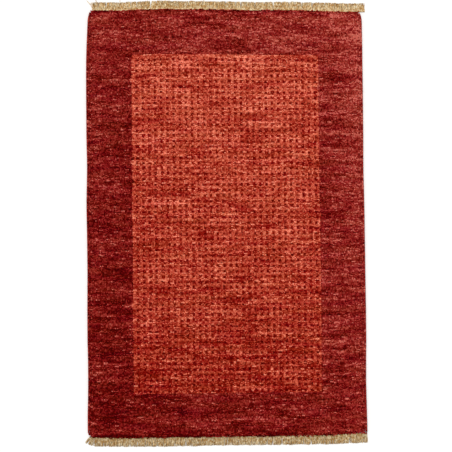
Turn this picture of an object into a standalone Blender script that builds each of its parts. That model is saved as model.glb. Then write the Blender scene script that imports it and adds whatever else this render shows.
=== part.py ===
# A small hand-knotted wool rug lying flat: the knotted body, an overcast selvedge along each
# long side, and a flat-woven end web with its cut warp fringe at each end.
# Metres, +Z up. The underside lies at Z = 0 and the rug's length runs along Y.

import math
import random
from collections import namedtuple

import bmesh
import bpy
from mathutils import Vector, noise

MM = 0.001

# Sizes of the whole rug
PILE_LENGTH = 1200 * MM
BODY_THICKNESS = 11 * MM
RIM_ROUNDING = 3 * MM
SEAM_GAP = 0.3 * MM
PILE_WAVE_HEIGHT = 0.5 * MM
PILE_WAVE_LENGTH = 160 * MM

# The body's mesh: equal columns across, and rows this far apart along, but for the first two
# steps from each end, which hold closer rows round the corners, measured in from that end
COLUMNS = 20
ROW_PITCH = 30 * MM
CORNER_ROW_INSETS = (0, 4 * MM, 12 * MM, 24 * MM)
CORNER_PITCHES = 2

# Overcast side cord, seen from above as a thin rim
SELVEDGE_WIDTH = 4.4 * MM
SELVEDGE_HEIGHT = 5 * MM
SELVEDGE_SIDES = 8

# Undyed end web and the warp locks that grow out of it
WEB_WIDTH = 4.5 * MM
WEB_THICKNESS = 3 * MM
LOCKS_PER_END = 104
LOCK_ROOT_SHARE = 0.78
LOCK_SECTIONS = 3
LOCK_TIP_WIDTH = 4.4 * MM
LOCK_TIP_THICKNESS = 1.4 * MM
LOCK_LENGTH_SPREAD = 1.6 * MM
LOCK_SWAY = 1.9 * MM
LOCK_SWAY_PERIOD = 17
LOCK_JITTER = 0.7 * MM
LOCK_BEND_POWER = 1.5
LOCK_TAPER_POWER = 2

# How far each side edge lies from the centre line at places along the rug, in millimetres
SidePlace = namedtuple("SidePlace", "y left right")
SIDE_EDGE = (
    SidePlace(y=600, left=385.5, right=375),
    SidePlace(y=596, left=387.5, right=377),
    SidePlace(y=588, left=390, right=380),
    SidePlace(y=576, left=392.5, right=382),
    SidePlace(y=540, left=394, right=382.5),
    SidePlace(y=495, left=396, right=383.5),
    SidePlace(y=450, left=397, right=384),
    SidePlace(y=380, left=397, right=385),
    SidePlace(y=240, left=396, right=386.5),
    SidePlace(y=160, left=394, right=386.5),
    SidePlace(y=50, left=396, right=389.5),
    SidePlace(y=-50, left=394, right=391),
    SidePlace(y=-150, left=393, right=392.5),
    SidePlace(y=-240, left=393.5, right=394),
    SidePlace(y=-330, left=393, right=395),
    SidePlace(y=-390, left=391.5, right=394.5),
    SidePlace(y=-450, left=391, right=394.5),
    SidePlace(y=-500, left=391.5, right=396),
    SidePlace(y=-555, left=393, right=397.5),
    SidePlace(y=-588, left=392, right=398),
    SidePlace(y=-596, left=389.5, right=398.5),
    SidePlace(y=-600, left=387, right=398.5),
)

# How far each pile end lies from the middle, in millimetres, by the share of the width from
# the left; every share is a whole number of body columns
EndPlace = namedtuple("EndPlace", "share top bottom")
END_EDGE = (
    EndPlace(share=0.00, top=599, bottom=603),
    EndPlace(share=0.10, top=598, bottom=604),
    EndPlace(share=0.15, top=600, bottom=604),
    EndPlace(share=0.25, top=603, bottom=603.5),
    EndPlace(share=0.40, top=602, bottom=601.5),
    EndPlace(share=0.50, top=601, bottom=600),
    EndPlace(share=0.60, top=599, bottom=599.5),
    EndPlace(share=0.75, top=600, bottom=598),
    EndPlace(share=0.85, top=597.5, bottom=597),
    EndPlace(share=0.95, top=595.5, bottom=594),
    EndPlace(share=1.00, top=596, bottom=592),
)

# The two fringes: the direction it grows in, the end edge that it follows, the length of its
# locks past the web, and how far its outermost locks splay past the corner at either side
Fringe = namedtuple("Fringe", "name outward edge lock_length left_splay right_splay")
FRINGES = (
    Fringe("fringe_top", 1, "top", 20 * MM, 1 * MM, 17 * MM),
    Fringe("fringe_bottom", -1, "bottom", 24 * MM, 14 * MM, 7 * MM),
)
SPLAY_LOCKS = 7

# Warp ends of the top fringe that were left longer than their neighbours
LongEnd = namedtuple("LongEnd", "lock extra_length extra_sway")
LONG_ENDS = (
    LongEnd(lock=0, extra_length=2 * MM, extra_sway=-19 * MM),
    LongEnd(lock=1, extra_length=12 * MM, extra_sway=-1 * MM),
    LongEnd(lock=10, extra_length=9 * MM, extra_sway=0.5 * MM),
    LongEnd(lock=27, extra_length=11 * MM, extra_sway=1 * MM),
    LongEnd(lock=42, extra_length=10 * MM, extra_sway=-1 * MM),
)

# Colours of the finished wool and cotton
DEEP_RED = (0.27, 0.022, 0.012)
DARK_MAROON = (0.075, 0.008, 0.006)
UNDYED_BEIGE = (0.58, 0.46, 0.25)


def between(places, column, at, key):
    """Reads a table at a place between two of its rows, in a straight line."""
    rows = sorted(places, key=lambda row: getattr(row, key))
    if at <= getattr(rows[0], key):
        return getattr(rows[0], column)
    for low, high in zip(rows, rows[1:]):
        start, stop = getattr(low, key), getattr(high, key)
        if at <= stop:
            share = (at - start) / (stop - start)
            return getattr(low, column) * (1 - share) + getattr(high, column) * share
    return getattr(rows[-1], column)


def side_x(side, y):
    """X of the rug's outer edge on one side, at a place along it."""
    distance = between(SIDE_EDGE, side, y / MM, "y") * MM
    return -distance if side == "left" else distance


def body_side_x(side, y):
    """X of the knotted body's own edge, inside its selvedge."""
    inset = SELVEDGE_WIDTH + SEAM_GAP
    return side_x(side, y) + (inset if side == "left" else -inset)


def end_y(edge, share):
    """Y of the knotted body's end, at a share of its width from the left."""
    distance = between(END_EDGE, edge, share, "share") * MM
    return distance if edge == "top" else -distance


def end_x(edge, share):
    """X along the knotted body's end, at a share of its width from the left."""
    y = PILE_LENGTH / 2 if edge == "top" else -PILE_LENGTH / 2
    left, right = body_side_x("left", y), body_side_x("right", y)
    return left + (right - left) * share


def rows_along():
    """Every row across the body from the bottom end up: its Y in a straight rug, and for the
    rows round the corners the end that they follow and how far in from it they lie."""
    half = PILE_LENGTH / 2
    steps = round(PILE_LENGTH / ROW_PITCH)
    plain_steps = range(CORNER_PITCHES, steps - CORNER_PITCHES + 1)
    rows = [(inset - half, "bottom", inset) for inset in CORNER_ROW_INSETS]
    rows += [(step * ROW_PITCH - half, None, None) for step in plain_steps]
    return rows + [(half - inset, "top", inset) for inset in reversed(CORNER_ROW_INSETS)]


def outline_point(share, row):
    """X and Y of the body at a share of its width, on one of its rows."""
    straight_y, end, inset = row
    left, right = body_side_x("left", straight_y), body_side_x("right", straight_y)
    x = left + (right - left) * share
    if end is None:
        return x, straight_y
    return x, end_y(end, share) + (inset if end == "bottom" else -inset)


def wool(name, colour, roughness):
    """A dull fibre material of one colour."""
    material = bpy.data.materials.new(name)
    material.use_nodes = True
    shader = material.node_tree.nodes["Principled BSDF"]
    shader.inputs["Base Color"].default_value = (*colour, 1)
    shader.inputs["Roughness"].default_value = roughness
    shader.inputs["Metallic"].default_value = 0
    return material


def add_piece(name, bm, material):
    """Closes the bmesh into a named object with its faces outward."""
    bmesh.ops.recalc_face_normals(bm, faces=bm.faces)
    mesh = bpy.data.meshes.new(name)
    bm.to_mesh(mesh)
    bm.free()
    mesh.materials.append(material)
    piece = bpy.data.objects.new(name, mesh)
    bpy.context.collection.objects.link(piece)
    return piece


def build_body():
    """The pile and its foundation as one flat slab with the rug's own uneven outline."""
    rows = rows_along()
    bm = bmesh.new()
    bmesh.ops.create_grid(bm, x_segments=COLUMNS, y_segments=len(rows) - 1, size=0.5)
    for vert in bm.verts:
        column = round((vert.co.x + 0.5) * COLUMNS)
        row = round((vert.co.y + 0.5) * (len(rows) - 1))
        x, y = outline_point(column / COLUMNS, rows[row])
        vert.co = (x, y, BODY_THICKNESS)
    top_faces = bm.faces[:]
    rim = [edge for edge in bm.edges if edge.is_boundary]
    inner = [vert for vert in bm.verts if not vert.is_boundary]

    lowered = bmesh.ops.extrude_face_region(bm, geom=top_faces, use_keep_orig=True)["geom"]
    for item in lowered:
        if isinstance(item, bmesh.types.BMVert):
            item.co.z = 0
    underside = [item for item in lowered if isinstance(item, bmesh.types.BMFace)]
    bmesh.ops.dissolve_faces(bm, faces=underside)

    for vert in inner:
        place = Vector((vert.co.x, vert.co.y, 0)) / PILE_WAVE_LENGTH
        vert.co.z += PILE_WAVE_HEIGHT * noise.noise(place)
    bmesh.ops.bevel(
        bm,
        geom=rim,
        affect="EDGES",
        offset=RIM_ROUNDING,
        segments=2,
        profile=0.5,
        material=-1,
        clamp_overlap=True,
    )
    return add_piece("knotted_body", bm, wool("red_wool_pile", DEEP_RED, 0.95))


def build_selvedge(side):
    """The wool-wrapped cord down one side: an eight-sided bar along the body's own edge, from
    corner to corner."""
    outward = -1 if side == "left" else 1
    share = 0 if side == "left" else 1
    offset = Vector((outward * (SEAM_GAP + SELVEDGE_WIDTH / 2), 0, 0))
    route = [Vector((*outline_point(share, row), 0)) + offset for row in rows_along()[1:-1]]
    eighth = 2 * math.pi / SELVEDGE_SIDES
    to_corner = 1 / math.cos(eighth / 2)
    bm = bmesh.new()
    bmesh.ops.create_circle(bm, segments=SELVEDGE_SIDES, radius=to_corner)
    for vert in bm.verts:
        angle = math.atan2(vert.co.y, vert.co.x) + eighth / 2
        across = math.cos(angle) * to_corner * SELVEDGE_WIDTH / 2
        up = (1 + math.sin(angle) * to_corner) * SELVEDGE_HEIGHT / 2
        vert.co = route[0] + Vector((across, 0, up))
    ring = bm.edges[:]
    for before, after in zip(route, route[1:]):
        grown = bmesh.ops.extrude_edge_only(bm, edges=ring)["geom"]
        moved = {item for item in grown if isinstance(item, bmesh.types.BMVert)}
        bmesh.ops.translate(bm, verts=list(moved), vec=after - before)
        ring = [edge for edge in bm.edges if edge.is_boundary and moved.issuperset(edge.verts)]
    bmesh.ops.holes_fill(bm, edges=[edge for edge in bm.edges if edge.is_boundary])
    return add_piece(f"selvedge_{side}", bm, wool(f"{side}_wrapping_yarn", DARK_MAROON, 0.9))


def lock_shapes(fringe, draw):
    """Length and sideways sway of each lock's tip, from the left to the right."""
    shapes = []
    long_ends = {end.lock: end for end in LONG_ENDS} if fringe.edge == "top" else {}
    for lock in range(LOCKS_PER_END):
        length = fringe.lock_length + draw.uniform(-LOCK_LENGTH_SPREAD, LOCK_LENGTH_SPREAD)
        sway = LOCK_SWAY * math.sin(2 * math.pi * lock / LOCK_SWAY_PERIOD)
        sway += draw.uniform(-LOCK_JITTER, LOCK_JITTER)
        from_left = max(0, SPLAY_LOCKS - lock) / SPLAY_LOCKS
        from_right = max(0, SPLAY_LOCKS - (LOCKS_PER_END - 1 - lock)) / SPLAY_LOCKS
        sway += fringe.right_splay * from_right - fringe.left_splay * from_left
        if lock in long_ends:
            length += long_ends[lock].extra_length
            sway += long_ends[lock].extra_sway
        shapes.append((length, sway))
    return shapes


def build_fringe(fringe, draw):
    """The end web with its locks: every second cell of its outer wall grows into a lock."""
    cells = 2 * LOCKS_PER_END + 1
    gap_share = 1 - LOCK_ROOT_SHARE
    bm = bmesh.new()
    bmesh.ops.create_grid(bm, x_segments=cells, y_segments=1, size=0.5)
    for vert in bm.verts:
        step = round((vert.co.x + 0.5) * cells)
        lock, on_far_side = divmod(max(step - 1, 0), 2)
        share = (lock + gap_share / 2 + on_far_side * LOCK_ROOT_SHARE) / LOCKS_PER_END
        if step == 0:
            share = 0
        elif step == cells:
            share = 1
        outer = vert.co.y > 0
        y = end_y(fringe.edge, share)
        y += fringe.outward * (SEAM_GAP + (WEB_WIDTH if outer else 0))
        vert.co = (end_x(fringe.edge, share), y, WEB_THICKNESS)
    lowered = bmesh.ops.extrude_face_region(bm, geom=bm.faces[:], use_keep_orig=True)["geom"]
    for item in lowered:
        if isinstance(item, bmesh.types.BMVert):
            item.co.z = 0

    bmesh.ops.recalc_face_normals(bm, faces=bm.faces)
    walls = [face for face in bm.faces if face.normal.y * fringe.outward > 0.5]
    walls.sort(key=lambda face: face.calc_center_median().x)
    roots = walls[1::2]
    places = [root.calc_center_median() for root in roots]
    root_width = (end_x(fringe.edge, 1) - end_x(fringe.edge, 0)) / LOCKS_PER_END
    root_width *= LOCK_ROOT_SHARE
    shapes = lock_shapes(fringe, draw)

    tips = roots
    for section in range(1, LOCK_SECTIONS + 1):
        along = section / LOCK_SECTIONS
        grown = bmesh.ops.extrude_discrete_faces(bm, faces=tips)["faces"]
        tips = sorted(grown, key=lambda face: face.calc_center_median().x)
        width = root_width + (LOCK_TIP_WIDTH - root_width) * along**LOCK_TAPER_POWER
        thickness = WEB_THICKNESS + (LOCK_TIP_THICKNESS - WEB_THICKNESS) * along
        for face, place, (length, sway) in zip(tips, places, shapes):
            middle = face.calc_center_median()
            for vert in face.verts:
                on_left = vert.co.x < middle.x
                above = vert.co.z > middle.z
                vert.co.x = place.x + sway * along**LOCK_BEND_POWER
                vert.co.x += (-width if on_left else width) / 2
                vert.co.y = place.y + fringe.outward * length * along
                vert.co.z = thickness if above else 0
    return add_piece(fringe.name, bm, wool(f"{fringe.edge}_warp_cotton", UNDYED_BEIGE, 0.85))


def centre_over_origin(pieces):
    """Moves the pieces together so that their common box stands centred on the origin."""
    corners = [vert.co for piece in pieces for vert in piece.data.vertices]
    middle_x = (min(co.x for co in corners) + max(co.x for co in corners)) / 2
    middle_y = (min(co.y for co in corners) + max(co.y for co in corners)) / 2
    for piece in pieces:
        piece.location = (-middle_x, -middle_y, 0)


for old in list(bpy.data.objects):
    bpy.data.objects.remove(old, do_unlink=True)

lock_draw = random.Random(7)
rug_pieces = [build_body(), build_selvedge("left"), build_selvedge("right")]
for end in FRINGES:
    rug_pieces.append(build_fringe(end, lock_draw))
centre_over_origin(rug_pieces)
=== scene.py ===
"""A small hand-knotted wool rug lying flat, in two reds, with a short fringe at both ends."""

import math

import bmesh
import bpy
import numpy as np
from mathutils import Matrix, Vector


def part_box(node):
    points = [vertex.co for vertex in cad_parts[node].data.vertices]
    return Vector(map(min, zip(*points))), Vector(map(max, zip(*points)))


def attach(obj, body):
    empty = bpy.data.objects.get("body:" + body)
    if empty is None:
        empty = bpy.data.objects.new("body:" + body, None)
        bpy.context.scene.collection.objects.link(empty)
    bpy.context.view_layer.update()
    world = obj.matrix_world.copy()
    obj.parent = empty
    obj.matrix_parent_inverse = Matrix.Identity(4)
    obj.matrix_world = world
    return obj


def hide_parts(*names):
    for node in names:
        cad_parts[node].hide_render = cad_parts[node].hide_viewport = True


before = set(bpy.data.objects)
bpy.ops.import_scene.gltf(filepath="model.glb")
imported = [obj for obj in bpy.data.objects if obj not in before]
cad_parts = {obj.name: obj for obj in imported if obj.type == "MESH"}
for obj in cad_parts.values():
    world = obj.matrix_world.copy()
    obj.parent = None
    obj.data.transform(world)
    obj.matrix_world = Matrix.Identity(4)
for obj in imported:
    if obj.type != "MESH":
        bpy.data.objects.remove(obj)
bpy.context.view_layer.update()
scene = bpy.context.scene
MM = 0.001


# The camera looks straight down on the middle of the rug, far enough away that the pile's
# thickness hardly shows at the edges. The picture takes in 1.273 m of floor each way.
VIEW_WIDTH = 1273.3 * MM
VIEW_CENTRE = (-1.8 * MM, -10.1 * MM)
VIEW_HEIGHT = 3.4

camera_data = bpy.data.cameras.new("camera")
camera_data.sensor_width = 36
camera_data.lens = 36 * (VIEW_HEIGHT - 11 * MM) / VIEW_WIDTH
camera = bpy.data.objects.new("camera", camera_data)
camera.location = (*VIEW_CENTRE, VIEW_HEIGHT)
scene.collection.objects.link(camera)
scene.camera = camera
scene.view_settings.view_transform = "Standard"


# A white studio floor, a wide soft lamp high up behind the top end, and an even white room
# around them that fills the shadows between the tufts.
FLOOR_SIZE = 16
LAMP_STRENGTH = 1.9
LAMP_SOFTNESS = math.radians(30)
ROOM_STRENGTH = 0.62


def linear(hex_colour):
    """An sRGB hex value as linear RGBA."""
    parts = [int(hex_colour[i : i + 2], 16) / 255 for i in (0, 2, 4)]
    return [p / 12.92 if p <= 0.04045 else ((p + 0.055) / 1.055) ** 2.4 for p in parts] + [1]


def add_node(tree, kind, inputs=None, stops=None, **settings):
    """A node with its settings, a ramp's colour stops, and inputs as values or as links."""
    node = tree.nodes.new(kind)
    for name, value in settings.items():
        setattr(node, name, value)
    for name, value in (inputs or {}).items():
        if isinstance(value, bpy.types.Node):
            value = next(output for output in value.outputs if output.enabled)
        if isinstance(value, bpy.types.NodeSocket):
            tree.links.new(value, node.inputs[name])
        else:
            node.inputs[name].default_value = value
    for at, (place, shade) in enumerate(stops or ()):
        elements = node.color_ramp.elements
        element = elements[at] if at < 2 else elements.new(place)
        element.position = place
        element.color = linear(shade)
    return node


def new_material(name, shader_inputs):
    """A material with one Principled shader; its tree and that shader."""
    material = bpy.data.materials.new(name)
    material.use_nodes = True
    shader = material.node_tree.nodes["Principled BSDF"]
    for socket, value in shader_inputs.items():
        shader.inputs[socket].default_value = value
    return material, material.node_tree, shader


def add_piece(name, mesh, material, smooth=True):
    """An object at the origin with one material, which rides on the rug."""
    mesh.materials.clear()
    mesh.materials.append(material)
    mesh.polygons.foreach_set("use_smooth", [smooth] * len(mesh.polygons))
    piece = bpy.data.objects.new(name, mesh)
    scene.collection.objects.link(piece)
    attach(piece, "root")
    return piece


floor_paint, tree, shader = new_material(
    "matt_white_floor", {"Roughness": 0.9, "Specular IOR Level": 0.1}
)
mottle = add_node(tree, "ShaderNodeTexNoise", {"Scale": 1.5, "Detail": 1.0})
paint = add_node(
    tree,
    "ShaderNodeValToRGB",
    {"Fac": mottle.outputs["Fac"]},
    stops=((0.2, "F6F5F3"), (0.8, "F9F8F7")),
)
tree.links.new(paint.outputs["Color"], shader.inputs["Base Color"])

bm = bmesh.new()
bmesh.ops.create_grid(bm, x_segments=1, y_segments=1, size=FLOOR_SIZE / 2)
floor_mesh = bpy.data.meshes.new("floor")
bm.to_mesh(floor_mesh)
bm.free()
floor_mesh.materials.append(floor_paint)
floor = bpy.data.objects.new("floor", floor_mesh)
scene.collection.objects.link(floor)

lamp_data = bpy.data.lights.new("soft_lamp", "SUN")
lamp_data.energy = LAMP_STRENGTH
lamp_data.angle = LAMP_SOFTNESS
lamp = bpy.data.objects.new("soft_lamp", lamp_data)
lamp.rotation_euler = (math.radians(-24), math.radians(-12), 0)
scene.collection.objects.link(lamp)

room = bpy.data.worlds.new("white_room")
room.use_nodes = True
room.node_tree.nodes["Background"].inputs["Color"].default_value = (1, 1, 1, 1)
room.node_tree.nodes["Background"].inputs["Strength"].default_value = ROOM_STRENGTH
scene.world = room


# The knots: two reds of hand-spun, hand-dyed wool, tied in rows on cotton warps. Each dye lot
# runs unevenly along a row, which gives the streaks, and each dot of the field is four dark knots.
KNOT_COLUMNS = 223
KNOT_ROWS = 393
FIELD_COLUMNS = (36, 188)
FIELD_ROWS = (40, 352)
DOT_START = (39, 41)
DOT_COUNT = (30, 62)
DOT_REPEAT = 5
DOT_KNOTS = 2
TOP_CORNER_Y = 587 * MM
BOTTOM_CORNER_Y = -589 * MM

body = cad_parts["knotted_body"]
rim = np.array([v.co for v in body.data.vertices if v.co.z < 0.5 * MM])
half_width = 0.9 * rim[:, 0].max()


def edge_line(points, along):
    """The points of one edge, as two rows that np.interp reads: place along it, place across."""
    points = points[np.argsort(points[:, along])]
    return points[:, along], points[:, 1 - along]


left_edge = edge_line(rim[rim[:, 0] < -half_width], 1)
right_edge = edge_line(rim[rim[:, 0] > half_width], 1)
top_edge = edge_line(rim[rim[:, 1] > TOP_CORNER_Y], 0)
bottom_edge = edge_line(rim[rim[:, 1] < BOTTOM_CORNER_Y], 0)


def weave_place(across, along):
    """X and Y of places in the weave, given as shares of its width and of its length."""
    y = rim[:, 1].min() + (rim[:, 1].max() - rim[:, 1].min()) * along
    for _ in range(3):
        x_left, x_right = np.interp(y, *left_edge), np.interp(y, *right_edge)
        x = x_left + (x_right - x_left) * across
        y_low, y_high = np.interp(x, *bottom_edge), np.interp(x, *top_edge)
        y = y_low + (y_high - y_low) * along
    return x, y


# Undercoated, lightly lustrous hand-spun wool, dyed madder red: dull and slightly furry, so
# it hardly shines, with a faint sheen at a low angle.
pile_wool, tree, shader = new_material(
    "hand_knotted_wool_pile",
    {
        "Roughness": 0.95,
        "IOR": 1.55,
        "Specular IOR Level": 0.02,
        "Sheen Weight": 0.05,
        "Sheen Roughness": 0.5,
        "Sheen Tint": linear("C8402C"),
    },
)

knot = add_node(tree, "ShaderNodeAttribute", attribute_name="knot")
whole = add_node(tree, "ShaderNodeVectorMath", {0: knot.outputs["Vector"]}, operation="FLOOR")
places = add_node(tree, "ShaderNodeSeparateXYZ", {"Vector": whole})
column, row = places.outputs["X"], places.outputs["Y"]
single_knot = add_node(tree, "ShaderNodeTexWhiteNoise", {"Vector": whole})


def streak_noise(rows_high, knots_long, seed):
    """Noise that runs along the rows: each band of rows has its own streaks."""
    band = add_node(
        tree, "ShaderNodeVectorMath", {0: whole, 1: (1, rows_high, 1)}, operation="SNAP"
    )
    place = add_node(
        tree,
        "ShaderNodeVectorMath",
        {0: band, 1: (1 / knots_long, 17.318, 0), 2: (0, seed, 0)},
        operation="MULTIPLY_ADD",
    )
    return add_node(
        tree,
        "ShaderNodeTexNoise",
        {"Vector": place, "Scale": 1.0, "Detail": 2.0, "Roughness": 0.6},
        noise_dimensions="2D",
    )


long_streak = streak_noise(1, 14, 3.5)
wide_streak = streak_noise(3, 30, 71.5)
short_streak = streak_noise(1, 3.5, 133.5)
patch_place = add_node(
    tree, "ShaderNodeVectorMath", {0: whole, 1: (0.028, 0.11, 0)}, operation="MULTIPLY"
)
patch = add_node(
    tree,
    "ShaderNodeTexNoise",
    {"Vector": patch_place, "Scale": 1.0, "Detail": 2.0},
    noise_dimensions="2D",
)

# How light each knot is, from 0 to 1, before its colour is read from its wool's ramp. Each
# kind of unevenness adds its own share, and a few short stretches of yarn are much lighter.
UNEVENNESS = (
    (single_knot, 0.58),
    (long_streak, 0.75),
    (wide_streak, 0.55),
    (short_streak, 0.55),
    (patch, 0.6),
)
tone = 0.5 - 0.5 * sum(strength for _, strength in UNEVENNESS)
for noise, strength in UNEVENNESS:
    tone = add_node(
        tree, "ShaderNodeMath", {0: noise, 1: strength, 2: tone}, operation="MULTIPLY_ADD"
    )
stretch = add_node(tree, "ShaderNodeVectorMath", {0: whole, 1: (3, 1, 1)}, operation="SNAP")
stretch_lot = add_node(tree, "ShaderNodeTexWhiteNoise", {"Vector": stretch})
pale_stretch = add_node(
    tree, "ShaderNodeMath", {0: stretch_lot, 1: 0.96}, operation="GREATER_THAN"
)
tone = add_node(
    tree, "ShaderNodeMath", {0: pale_stretch, 1: 0.28, 2: tone}, operation="MULTIPLY_ADD"
)

# The field is a rectangle of knots whose long edges wander by a knot or so
wandering = add_node(
    tree, "ShaderNodeMath", {0: wide_streak, 1: 3.0, 2: column}, operation="MULTIPLY_ADD"
)
field_middle = (sum(FIELD_COLUMNS) / 2 + 1, (sum(FIELD_ROWS) - 1) / 2)
field_half = ((FIELD_COLUMNS[1] - FIELD_COLUMNS[0]) / 2, (FIELD_ROWS[1] - FIELD_ROWS[0]) / 2)
between_sides = add_node(
    tree,
    "ShaderNodeMath",
    {0: wandering, 1: field_middle[0], 2: field_half[0]},
    operation="COMPARE",
)
between_ends = add_node(
    tree,
    "ShaderNodeMath",
    {0: row, 1: field_middle[1], 2: field_half[1]},
    operation="COMPARE",
)
in_field = add_node(
    tree, "ShaderNodeMath", {0: between_sides, 1: between_ends}, operation="MULTIPLY"
)


def in_dots(count_along, start, count, uneven):
    """1 on the knots that belong to a dot along one direction of the weave."""
    past = add_node(
        tree, "ShaderNodeMath", {0: count_along, 1: start - 0.5}, operation="SUBTRACT"
    )
    step = add_node(
        tree, "ShaderNodeMath", {0: past, 1: DOT_REPEAT}, operation="FLOORED_MODULO"
    )
    width = add_node(
        tree, "ShaderNodeMath", {0: uneven, 1: 4.0, 2: DOT_KNOTS - 1.75}, operation="MULTIPLY_ADD"
    )
    inside = add_node(tree, "ShaderNodeMath", {0: step, 1: width}, operation="LESS_THAN")
    half = DOT_REPEAT * count / 2
    among = add_node(
        tree, "ShaderNodeMath", {0: past, 1: half, 2: half}, operation="COMPARE"
    )
    return add_node(tree, "ShaderNodeMath", {0: inside, 1: among}, operation="MULTIPLY")


crossing = add_node(
    tree,
    "ShaderNodeMath",
    {
        0: in_dots(column, DOT_START[0], DOT_COUNT[0], short_streak),
        1: in_dots(row, DOT_START[1], DOT_COUNT[1], patch),
    },
    operation="MULTIPLY",
)
dot_strength = add_node(
    tree, "ShaderNodeMath", {0: long_streak, 1: 3.0, 2: -0.55}, operation="MULTIPLY_ADD"
)
dot = add_node(
    tree,
    "ShaderNodeMath",
    {0: crossing, 1: dot_strength},
    operation="MULTIPLY",
    use_clamp=True,
)

# The pile is made lighter towards the top end, and in the border also towards the right edge, the two
# ends and the selvedges; the last two or three rows at each end are painted darker, as shade along the
# pile's edge. The field is darkest over its last rows at the bottom.
from_edge = add_node(
    tree, "ShaderNodeMath", {0: column, 1: (KNOT_COLUMNS - 1) / 2}, operation="PINGPONG"
)
from_end = add_node(
    tree, "ShaderNodeMath", {0: row, 1: (KNOT_ROWS - 1) / 2}, operation="PINGPONG"
)


def add_changes(old_tone, changes):
    """A tone with changes added, each for a place in the weave: first, last, low, high."""
    for place, first, last, low, high in changes:
        change = add_node(
            tree,
            "ShaderNodeMapRange",
            {"Value": place, "From Min": first, "From Max": last, "To Min": low, "To Max": high},
        )
        old_tone = add_node(tree, "ShaderNodeMath", {0: old_tone, 1: change}, operation="ADD")
    return old_tone


field_tone = add_changes(tone, ((row, 0, KNOT_ROWS, -0.12, 0.12), (row, 40, 150, -0.07, 0)))
border_tone = add_changes(
    tone,
    (
        (row, 0, KNOT_ROWS, -0.1, 0.1),
        (column, 0, KNOT_COLUMNS, -0.09, 0.09),
        (from_edge, 4, 20, 0, -0.07),
        (from_end, 28, 40, 0.04, 0),
        # painted shade: the last rows at each end are darkened, as if in shadow at the pile's edge
        (from_end, 0, 2.5, -0.2, 0),
    ),
)

light_dye = add_node(
    tree,
    "ShaderNodeValToRGB",
    {"Fac": field_tone},
    stops=(
        (0.0, "740A02"),
        (1.0, "FC9678"),
        (0.25, "981C0D"),
        (0.5, "BE4630"),
        (0.75, "DE6C50"),
    ),
)
dark_dye = add_node(
    tree,
    "ShaderNodeValToRGB",
    {"Fac": border_tone},
    stops=(
        (0.0, "480100"),
        (1.0, "D87262"),
        (0.25, "6C0803"),
        (0.5, "90201A"),
        (0.75, "B04034"),
    ),
)
dot_dye = add_node(
    tree,
    "ShaderNodeValToRGB",
    {"Fac": field_tone},
    stops=((0.0, "440000"), (1.0, "A02410"), (0.5, "760300")),
)
field_dye = add_node(tree, "ShaderNodeMix", {0: dot, 6: light_dye, 7: dot_dye}, data_type="RGBA")
knot_dye = add_node(
    tree, "ShaderNodeMix", {0: in_field, 6: dark_dye, 7: field_dye}, data_type="RGBA"
)

# The dye drifts a little between orange and crimson from one lot of yarn to the next
drift_place = add_node(
    tree, "ShaderNodeVectorMath", {0: whole, 1: (0.03, 0.16, 7.3)}, operation="MULTIPLY"
)
drift = add_node(
    tree,
    "ShaderNodeTexNoise",
    {"Vector": drift_place, "Scale": 1.0, "Detail": 3.0, "Roughness": 0.7},
)
hue = add_node(
    tree, "ShaderNodeMath", {0: drift, 1: 0.02, 2: 0.489}, operation="MULTIPLY_ADD"
)
drifted_dye = add_node(tree, "ShaderNodeHueSaturation", {"Hue": hue, "Color": knot_dye})

# Single fibres are about 0.04 mm thick; locks of them, 0.9 mm, are drawn here. The tufts are
# darker towards their roots, where little light gets in.
position = add_node(tree, "ShaderNodeTexCoord").outputs["Object"]
fibre = add_node(
    tree,
    "ShaderNodeTexNoise",
    {"Vector": position, "Scale": 1 / (0.9 * MM), "Detail": 3.0, "Roughness": 0.65},
)
height = add_node(tree, "ShaderNodeSeparateXYZ", {"Vector": position}).outputs["Z"]
depth = add_node(
    tree,
    "ShaderNodeMapRange",
    {"Value": height, "From Min": 5.5 * MM, "From Max": 9.5 * MM, "To Min": 0.45, "To Max": 1},
)
fibre_light = add_node(
    tree, "ShaderNodeMath", {0: fibre, 1: 0.5, 2: 0.75}, operation="MULTIPLY_ADD"
)
shade = add_node(tree, "ShaderNodeMath", {0: fibre_light, 1: depth}, operation="MULTIPLY")
shade_colour = add_node(tree, "ShaderNodeCombineColor", {0: shade, 1: shade, 2: shade})
pile_colour = add_node(
    tree,
    "ShaderNodeMix",
    {0: 1.0, 6: drifted_dye, 7: shade_colour},
    data_type="RGBA",
    blend_type="MULTIPLY",
)
tree.links.new(pile_colour.outputs[2], shader.inputs["Base Color"])
furriness = add_node(
    tree, "ShaderNodeBump", {"Height": fibre, "Strength": 0.5, "Distance": 0.5 * MM}
)
tree.links.new(furriness.outputs["Normal"], shader.inputs["Normal"])


# The foundation: the woven sheet that holds the knots, with its flat back on the floor
# and the roots of the pile on top. It is the part that keeps the rug's outline.
FOUNDATION_TOP = 6.5 * MM
FOUNDATION_CELLS = (60, 100)

bm = bmesh.new()
bmesh.ops.create_grid(
    bm, x_segments=FOUNDATION_CELLS[0], y_segments=FOUNDATION_CELLS[1], size=0.5
)
raised = bmesh.ops.extrude_face_region(bm, geom=bm.faces[:], use_keep_orig=True)["geom"]
for item in raised:
    if isinstance(item, bmesh.types.BMVert):
        item.co.z = FOUNDATION_TOP
bmesh.ops.recalc_face_normals(bm, faces=bm.faces)
foundation_mesh = bpy.data.meshes.new("foundation")
bm.to_mesh(foundation_mesh)
bm.free()
points = np.zeros(len(foundation_mesh.vertices) * 3)
foundation_mesh.vertices.foreach_get("co", points)
points = points.reshape(-1, 3)
shares = points[:, :2] + 0.5
knots = np.zeros_like(points)
knots[:, 0], knots[:, 1] = shares[:, 0] * KNOT_COLUMNS, shares[:, 1] * KNOT_ROWS
points[:, 0], points[:, 1] = weave_place(shares[:, 0], shares[:, 1])
foundation_mesh.vertices.foreach_set("co", points.ravel())
layer = foundation_mesh.attributes.new("knot", "FLOAT_VECTOR", "POINT")
layer.data.foreach_set("vector", knots.ravel())
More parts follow.
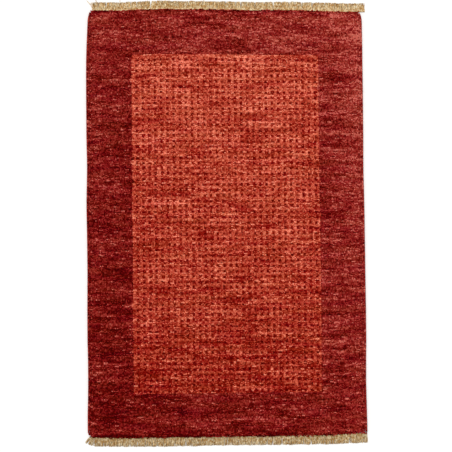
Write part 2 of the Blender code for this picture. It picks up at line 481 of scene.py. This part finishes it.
foundation = add_piece("foundation", foundation_mesh, pile_wool, smooth=False)
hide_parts("knotted_body")


# The pile: one cut tuft on every knot, wider at its soft end than at its root, all leaning
# towards the bottom end as the weaver pulled them. Five lengthwise strips hold them, and the
# outermost tufts spread over the selvedges and the end webs.
TUFT_ROOT = 4.6 * MM
TUFT_HEIGHT = 6.2 * MM
TUFT_RIM = 0.72
TUFT_FILL = 1.12
TUFT_LEAN = 0.36 * MM
TUFT_SCATTER = (0.28 * MM, 0.24 * MM)
SIDE_OVERHANG = (2.3 * MM, 1.2 * MM, 0.4 * MM)
END_OVERHANG = (1.5 * MM, 0.6 * MM)
STRIPS = (
    ("pile_left_border", 0, 36),
    ("pile_field_left", 36, 87),
    ("pile_field_middle", 87, 138),
    ("pile_field_right", 138, 188),
    ("pile_right_border", 188, 223),
)

# A tuft of unit size: a tip, a square rim below it and a root point
bm = bmesh.new()
bmesh.ops.create_uvsphere(bm, u_segments=4, v_segments=2, radius=1)
for vert in bm.verts:
    if vert.co.z > 0.5:
        vert.co = (0, -0.06, 1)
    elif vert.co.z < -0.5:
        vert.co = (0, 0.2, 0)
    else:
        angle = math.atan2(vert.co.y, vert.co.x) + math.pi / 4
        vert.co = (math.cos(angle) / math.sqrt(2), math.sin(angle) / math.sqrt(2), TUFT_RIM)
bmesh.ops.recalc_face_normals(bm, faces=bm.faces)
tuft_mesh = bpy.data.meshes.new("tuft")
bm.to_mesh(tuft_mesh)
bm.free()
tuft_mesh.polygons.foreach_set("use_smooth", [True] * len(tuft_mesh.polygons))
tuft = bpy.data.objects.new("tuft", tuft_mesh)

knot_width = (rim[:, 0].max() - rim[:, 0].min()) / KNOT_COLUMNS
knot_length = (rim[:, 1].max() - rim[:, 1].min()) / KNOT_ROWS
chance = np.random.default_rng(12)
every_row, every_column = np.meshgrid(
    np.arange(KNOT_ROWS), np.arange(KNOT_COLUMNS), indexing="ij"
)
tuft_count = KNOT_ROWS * KNOT_COLUMNS
across = (every_column.ravel() + 0.5) / KNOT_COLUMNS
along = (every_row.ravel() + 0.5) / KNOT_ROWS
tuft_x, tuft_y = weave_place(across, along)
tuft_x = tuft_x + chance.normal(0, TUFT_SCATTER[0], tuft_count)
tuft_y = tuft_y + chance.normal(0, TUFT_SCATTER[1], tuft_count) - TUFT_LEAN
for edge_column, spread in enumerate(SIDE_OVERHANG):
    tuft_x[every_column.ravel() == edge_column] -= spread
    tuft_x[every_column.ravel() == KNOT_COLUMNS - 1 - edge_column] += spread
for edge_row, spread in enumerate(END_OVERHANG):
    by_pairs = chance.uniform(-0.2, 2, KNOT_COLUMNS // 2 + 1)
    uneven = spread * np.repeat(by_pairs, 2)[:KNOT_COLUMNS]
    tuft_y[every_row.ravel() == edge_row] -= uneven
    tuft_y[every_row.ravel() == KNOT_ROWS - 1 - edge_row] += uneven
tuft_places = np.stack([tuft_x, tuft_y, np.full(tuft_count, TUFT_ROOT)], axis=1)
tuft_sizes = np.stack(
    [
        knot_width * TUFT_FILL * chance.uniform(0.9, 1.12, tuft_count),
        knot_length * TUFT_FILL * chance.uniform(0.9, 1.15, tuft_count),
        TUFT_HEIGHT * chance.uniform(0.9, 1.08, tuft_count),
    ],
    axis=1,
)
tuft_turns = np.stack(
    [
        0.12 + chance.normal(0, 0.07, tuft_count),
        chance.normal(0, 0.07, tuft_count),
        chance.normal(0, 0.22, tuft_count),
    ],
    axis=1,
)
tuft_knots = np.stack(
    [every_column.ravel() + 0.5, every_row.ravel() + 0.5, np.zeros(tuft_count)], axis=1
)

planting = bpy.data.node_groups.new("planting", "GeometryNodeTree")
planting.interface.new_socket("Geometry", in_out="INPUT", socket_type="NodeSocketGeometry")
planting.interface.new_socket("Geometry", in_out="OUTPUT", socket_type="NodeSocketGeometry")
points_in = add_node(planting, "NodeGroupInput")
tuft_in = add_node(planting, "GeometryNodeObjectInfo", {"Object": tuft})
turn = add_node(
    planting, "GeometryNodeInputNamedAttribute", {"Name": "turn"}, data_type="FLOAT_VECTOR"
)
size = add_node(
    planting, "GeometryNodeInputNamedAttribute", {"Name": "size"}, data_type="FLOAT_VECTOR"
)
planted = add_node(
    planting,
    "GeometryNodeInstanceOnPoints",
    {
        "Points": points_in.outputs[0],
        "Instance": tuft_in.outputs["Geometry"],
        "Rotation": turn.outputs[0],
        "Scale": size.outputs[0],
    },
)
realized = add_node(
    planting, "GeometryNodeRealizeInstances", {"Geometry": planted.outputs["Instances"]}
)
add_node(planting, "NodeGroupOutput", {0: realized.outputs["Geometry"]})

for name, first, last in STRIPS:
    chosen = np.flatnonzero((every_column.ravel() >= first) & (every_column.ravel() < last))
    bm = bmesh.new()
    bmesh.ops.create_grid(
        bm, x_segments=last - first - 1, y_segments=KNOT_ROWS - 1, size=0.5
    )
    bmesh.ops.delete(bm, geom=bm.faces[:], context="FACES_ONLY")
    bed_mesh = bpy.data.meshes.new("bed")
    bm.to_mesh(bed_mesh)
    bm.free()
    bed_mesh.vertices.foreach_set("co", tuft_places[chosen].ravel())
    for kind, values in (("turn", tuft_turns), ("size", tuft_sizes), ("knot", tuft_knots)):
        layer = bed_mesh.attributes.new(kind, "FLOAT_VECTOR", "POINT")
        layer.data.foreach_set("vector", values[chosen].ravel())
    bed = bpy.data.objects.new("bed", bed_mesh)
    scene.collection.objects.link(bed)
    bed.modifiers.new("planting", "NODES").node_group = planting
    bpy.context.view_layer.update()
    evaluated = bed.evaluated_get(bpy.context.evaluated_depsgraph_get())
    strip_mesh = bpy.data.meshes.new_from_object(evaluated)
    strip_mesh.name = name
    bpy.data.objects.remove(bed)
    for kind in ("turn", "size"):
        if kind in strip_mesh.attributes:
            strip_mesh.attributes.remove(strip_mesh.attributes[kind])
    points = np.zeros(len(strip_mesh.vertices) * 3)
    strip_mesh.vertices.foreach_get("co", points)
    flat = points.reshape(-1, 3)[:, :2]
    flat = (flat - flat.min(0)) / (flat.max(0) - flat.min(0))
    corners = np.zeros(len(strip_mesh.loops), np.int32)
    strip_mesh.loops.foreach_get("vertex_index", corners)
    chart = strip_mesh.uv_layers.new(name="OFBake")
    chart.data.foreach_set("uv", flat[corners].ravel())
    strip = add_piece(name, strip_mesh, pile_wool)
bpy.data.objects.remove(tuft)


# The selvedges: the outermost warps of each long edge, wrapped over and over in dark wool
# yarn, so each is a cord with a ridge for every wrap.
WRAP_PITCH = 3.2 * MM
WRAP_DEPTH = 0.45 * MM
SELVEDGE_SIZE = (4.4 * MM, 5.0 * MM)
SELVEDGE_SIDES = 10
RINGS_A_WRAP = 4

wrap_wool, tree, shader = new_material(
    "overcast_wool_yarn",
    {"Roughness": 0.95, "IOR": 1.55, "Specular IOR Level": 0.08},
)
position = add_node(tree, "ShaderNodeTexCoord").outputs["Object"]
uneven = add_node(
    tree, "ShaderNodeTexNoise", {"Vector": position, "Scale": 90.0, "Detail": 3.0}
)
wrap_colour = add_node(
    tree,
    "ShaderNodeValToRGB",
    {"Fac": uneven.outputs["Fac"]},
    stops=((0.3, "6E1A12"), (0.7, "A84434")),
)
tree.links.new(wrap_colour.outputs["Color"], shader.inputs["Base Color"])
fibre = add_node(
    tree, "ShaderNodeTexNoise", {"Vector": position, "Scale": 1 / (0.8 * MM), "Detail": 2.0}
)
furriness = add_node(
    tree,
    "ShaderNodeBump",
    {"Height": fibre.outputs["Fac"], "Strength": 0.6, "Distance": 0.3 * MM},
)
tree.links.new(furriness.outputs["Normal"], shader.inputs["Normal"])

for name, edge, outward in (
    ("selvedge_wrap_left", left_edge, -1),
    ("selvedge_wrap_right", right_edge, 1),
):
    node = "selvedge_left" if outward < 0 else "selvedge_right"
    low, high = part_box(node)
    wraps = round((high.y - low.y) / WRAP_PITCH)
    bm = bmesh.new()
    bmesh.ops.create_cone(
        bm, cap_ends=True, segments=SELVEDGE_SIDES, radius1=1, radius2=1, depth=1
    )
    sides = [e for e in bm.edges if abs(e.verts[0].co.z - e.verts[1].co.z) > 0.5]
    bmesh.ops.subdivide_edges(bm, edges=sides, cuts=wraps * RINGS_A_WRAP - 1)
    for vert in bm.verts:
        share = vert.co.z + 0.5
        angle = math.atan2(vert.co.y, vert.co.x)
        y = low.y + (high.y - low.y) * share
        ridge = abs(math.sin(math.pi * (share * wraps + 0.25 * math.cos(angle))))
        swell = 1 - WRAP_DEPTH / (SELVEDGE_SIZE[0] / 2) * (1 - ridge**0.6)
        middle = np.interp(y, *edge) + outward * (0.3 * MM + SELVEDGE_SIZE[0] / 2)
        vert.co = (
            middle + math.cos(angle) * SELVEDGE_SIZE[0] / 2 * swell,
            y,
            SELVEDGE_SIZE[1] / 2 * (1 + math.sin(angle) * swell),
        )
    bmesh.ops.recalc_face_normals(bm, faces=bm.faces)
    selvedge_mesh = bpy.data.meshes.new(name)
    bm.to_mesh(selvedge_mesh)
    bm.free()
    piece = add_piece(name, selvedge_mesh, wrap_wool)
    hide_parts(node)


# The fringes: the warp ends, knotted in small bunches against a narrow woven web and cut
# short. The yarns are undyed, loosely plied and crinkled, and lie in two layers on the floor.
WEB_WIDTH = 4.5 * MM
WEB_THICKNESS = 3.0 * MM
WEB_GAP = 0.3 * MM
KNOT_HALF_SIZE = (2.8 * MM, 1.6 * MM, 1.5 * MM)
KNOT_PLACE = (2.4 * MM, 0.5 * MM)
YARN_START = 0.8 * MM
BUNCHES = 104
SPLAY_WIDTH = 30 * MM
CORNER_ROUNDING = 12 * MM
UPPER_YARNS = 6
LOWER_YARNS = 8
YARN_RADIUS = 0.72 * MM
YARN_POINTS = 8

warp_yarn, tree, shader = new_material(
    "undyed_plied_warp", {"Roughness": 0.9, "IOR": 1.55, "Specular IOR Level": 0.1}
)
position = add_node(tree, "ShaderNodeTexCoord").outputs["Object"]
along_yarn = add_node(
    tree,
    "ShaderNodeVectorMath",
    {0: position, 1: (1 / (1.8 * MM), 1 / (6 * MM), 1 / (1.6 * MM))},
    operation="MULTIPLY",
)
yarn_lot = add_node(
    tree, "ShaderNodeTexNoise", {"Vector": along_yarn, "Scale": 1.0, "Detail": 2.0}
)
yarn_colour = add_node(
    tree,
    "ShaderNodeValToRGB",
    {"Fac": yarn_lot},
    stops=((0.33, "B8945C"), (0.67, "FFF2D0"), (0.5, "EACE9E")),
)

# The lower layer is painted darker as the shade of the upper one, dirt has got into the yarns in places,
# and the bottom end is painted darker as shade from the rug's thickness
sides = add_node(tree, "ShaderNodeSeparateXYZ", {"Vector": position})
depth = add_node(
    tree,
    "ShaderNodeMapRange",
    {"Value": sides.outputs["Z"], "From Min": 1.2 * MM, "From Max": 2.4 * MM, "To Min": 0.5, "To Max": 1},
)
dirt = add_node(
    tree, "ShaderNodeTexNoise", {"Vector": position, "Scale": 1 / (7 * MM), "Detail": 2.0}
)
dirt_colour = add_node(
    tree, "ShaderNodeValToRGB", {"Fac": dirt}, stops=((0.36, "DABE96"), (0.58, "FFFFFF"))
)
dirty_yarn = add_node(
    tree,
    "ShaderNodeMix",
    {0: 1.0, 6: yarn_colour, 7: dirt_colour},
    data_type="RGBA",
    blend_type="MULTIPLY",
)
# painted shade: the fringe darkens towards the bottom end, as if shaded by the rug
painted_end_shade = add_node(
    tree,
    "ShaderNodeMapRange",
    {"Value": sides.outputs["Y"], "From Min": -0.6, "From Max": 0.6, "To Min": 0.84, "To Max": 1},
)
dim = add_node(tree, "ShaderNodeMath", {0: depth, 1: painted_end_shade}, operation="MULTIPLY")
dim_colour = add_node(tree, "ShaderNodeCombineColor", {0: dim, 1: dim, 2: dim})
shaded_yarn = add_node(
    tree,
    "ShaderNodeMix",
    {0: 1.0, 6: dirty_yarn, 7: dim_colour},
    data_type="RGBA",
    blend_type="MULTIPLY",
)
tree.links.new(shaded_yarn.outputs[2], shader.inputs["Base Color"])
ply = add_node(
    tree, "ShaderNodeTexNoise", {"Vector": position, "Scale": 1 / (0.7 * MM), "Detail": 2.0}
)
twist = add_node(
    tree, "ShaderNodeBump", {"Height": ply, "Strength": 0.6, "Distance": 0.3 * MM}
)
tree.links.new(twist.outputs["Normal"], shader.inputs["Normal"])

# For each end: how far the web reaches past the pile's corners, the yarns' length, and how
# far the outermost yarns splay out on each side and how much shorter they are
FRINGES = (
    ("top", top_edge, 1, (-4 * MM, 18 * MM), 20 * MM, (1 * MM, -3 * MM), (0, 0)),
    ("bottom", bottom_edge, -1, (-1 * MM, 3 * MM), 23 * MM, (14 * MM, 0), (0.5, 0)),
)

# For a bunch with one longer yarn: how much longer it is, and how far it turns aside
LONG_ENDS = {
    ("top", 0): (5 * MM, -23 * MM),
    ("top", 1): (12 * MM, -7 * MM),
    ("top", 10): (9 * MM, 0.5 * MM),
    ("top", 27): (11 * MM, 1 * MM),
    ("top", 42): (10 * MM, -1 * MM),
}
fringe_pieces = []
for name, edge, outward, past_corners, length, splays, shorter in FRINGES:
    first_x, last_x = edge[0][0] - past_corners[0], edge[0][-1] + past_corners[1]
    pitch = (last_x - first_x) / BUNCHES
    straight_x = (edge[0][0] + CORNER_ROUNDING, edge[0][-1] - CORNER_ROUNDING)
    bm = bmesh.new()
    bmesh.ops.create_grid(bm, x_segments=BUNCHES * 4, y_segments=3, size=0.5)
    raised = bmesh.ops.extrude_face_region(bm, geom=bm.faces[:], use_keep_orig=True)["geom"]
    for item in raised:
        if isinstance(item, bmesh.types.BMVert):
            item.co.z = WEB_THICKNESS * (0.55 + 0.3 * (1 - (2 * item.co.y) ** 2))
    for vert in bm.verts:
        x = first_x + (last_x - first_x) * (vert.co.x + 0.5)
        into_web = WEB_GAP + WEB_WIDTH * (vert.co.y * outward + 0.5)
        web_y = np.interp(np.clip(x, *straight_x), *edge)
        vert.co.x, vert.co.y = x, web_y + outward * into_web
    for bunch in range(BUNCHES):
        x = first_x + (bunch + 0.5) * pitch
        web_y = np.interp(np.clip(x, *straight_x), *edge)
        y = web_y + outward * chance.normal(*KNOT_PLACE)
        turn = Matrix.Rotation(chance.normal(0.4, 0.3), 4, "Z")
        swell = chance.uniform(0.85, 1.15)
        size = Matrix.Diagonal((*(half * swell for half in KNOT_HALF_SIZE), 1))
        place = Matrix.Translation((x, y, WEB_THICKNESS * 1.1))
        bmesh.ops.create_uvsphere(
            bm, u_segments=8, v_segments=6, radius=1, matrix=place @ turn @ size
        )
    bmesh.ops.recalc_face_normals(bm, faces=bm.faces)
    web_mesh = bpy.data.meshes.new(f"end_web_{name}")
    bm.to_mesh(web_mesh)
    bm.free()
    web = add_piece(f"end_web_{name}", web_mesh, warp_yarn)

    yarns = bpy.data.curves.new(f"fringe_yarns_{name}", "CURVE")
    yarns.dimensions = "3D"
    yarns.bevel_depth = YARN_RADIUS
    yarns.bevel_resolution = 0
    yarns.use_fill_caps = True
    for bunch in range(BUNCHES):
        bunch_sway = 1.5 * MM * math.sin(2 * math.pi * bunch / 17) + chance.normal(0, 1 * MM)
        bunch_length = length + chance.normal(0, 0.5 * MM)
        middle = first_x + (bunch + 0.5) * pitch
        for yarn in range(UPPER_YARNS + LOWER_YARNS):
            if yarn < UPPER_YARNS:
                share = (yarn + 0.5) / UPPER_YARNS - 0.5
                root_z = chance.uniform(0.9, 1.3) * WEB_THICKNESS
                layer_z = YARN_RADIUS + chance.uniform(1.6, 3.2) * MM
                wander, kink = 2.2 * MM, chance.uniform(0.4, 1.1) * MM
            else:
                share = (yarn - UPPER_YARNS + 0.5) / LOWER_YARNS - 0.5
                root_z = chance.uniform(0.3, 0.6) * WEB_THICKNESS
                layer_z = YARN_RADIUS + chance.uniform(0, 0.6) * MM
                wander, kink = 0.8 * MM, 0.3 * MM
            root_x = middle + share * pitch + chance.normal(0, 0.2 * MM)
            from_left = max(0, 1 - (root_x - first_x) / SPLAY_WIDTH)
            from_right = max(0, 1 - (last_x - root_x) / SPLAY_WIDTH)
            sway = bunch_sway + chance.normal(0, wander)
            sway += splays[1] * from_right - splays[0] * from_left
            reach = bunch_length - abs(chance.normal(0, 1.2 * MM))
            reach *= 1 - shorter[0] * from_left**3 - shorter[1] * from_right**3
            if yarn == 4 and (name, bunch) in LONG_ENDS:
                extra_length, extra_sway = LONG_ENDS[name, bunch]
                reach, sway = bunch_length + extra_length, sway + extra_sway
            wave = chance.uniform(0, 2 * math.pi)
            web_y = np.interp(np.clip(root_x, *straight_x), *edge)
            spline = yarns.splines.new("POLY")
            spline.points.add(YARN_POINTS - 1)
            for at, point in enumerate(spline.points):
                t = at / (YARN_POINTS - 1)
                x = root_x + sway * t + kink * math.sin(wave + 9 * t) * min(1, 2 * t)
                y = web_y + outward * (YARN_START + (WEB_WIDTH + reach) * t)
                z = layer_z * (1 - 0.35 * t) + (root_z - layer_z) * (1 - t) ** 2
                z += 0.5 * kink * math.sin(wave + 7 * t) * t
                point.co = (x, y, max(z, YARN_RADIUS * 1.02), 1)
                point.radius = 1.0 if t < 0.7 else 1.0 - (t - 0.7)
    bundle = bpy.data.objects.new(yarns.name, yarns)
    scene.collection.objects.link(bundle)
    bpy.context.view_layer.update()
    evaluated = bundle.evaluated_get(bpy.context.evaluated_depsgraph_get())
    fringe_mesh = bpy.data.meshes.new_from_object(evaluated)
    bpy.data.objects.remove(bundle)
    fringe = add_piece(f"fringe_yarns_{name}", fringe_mesh, warp_yarn)
    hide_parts(f"fringe_{name}")
    fringe_pieces += [web, fringe]
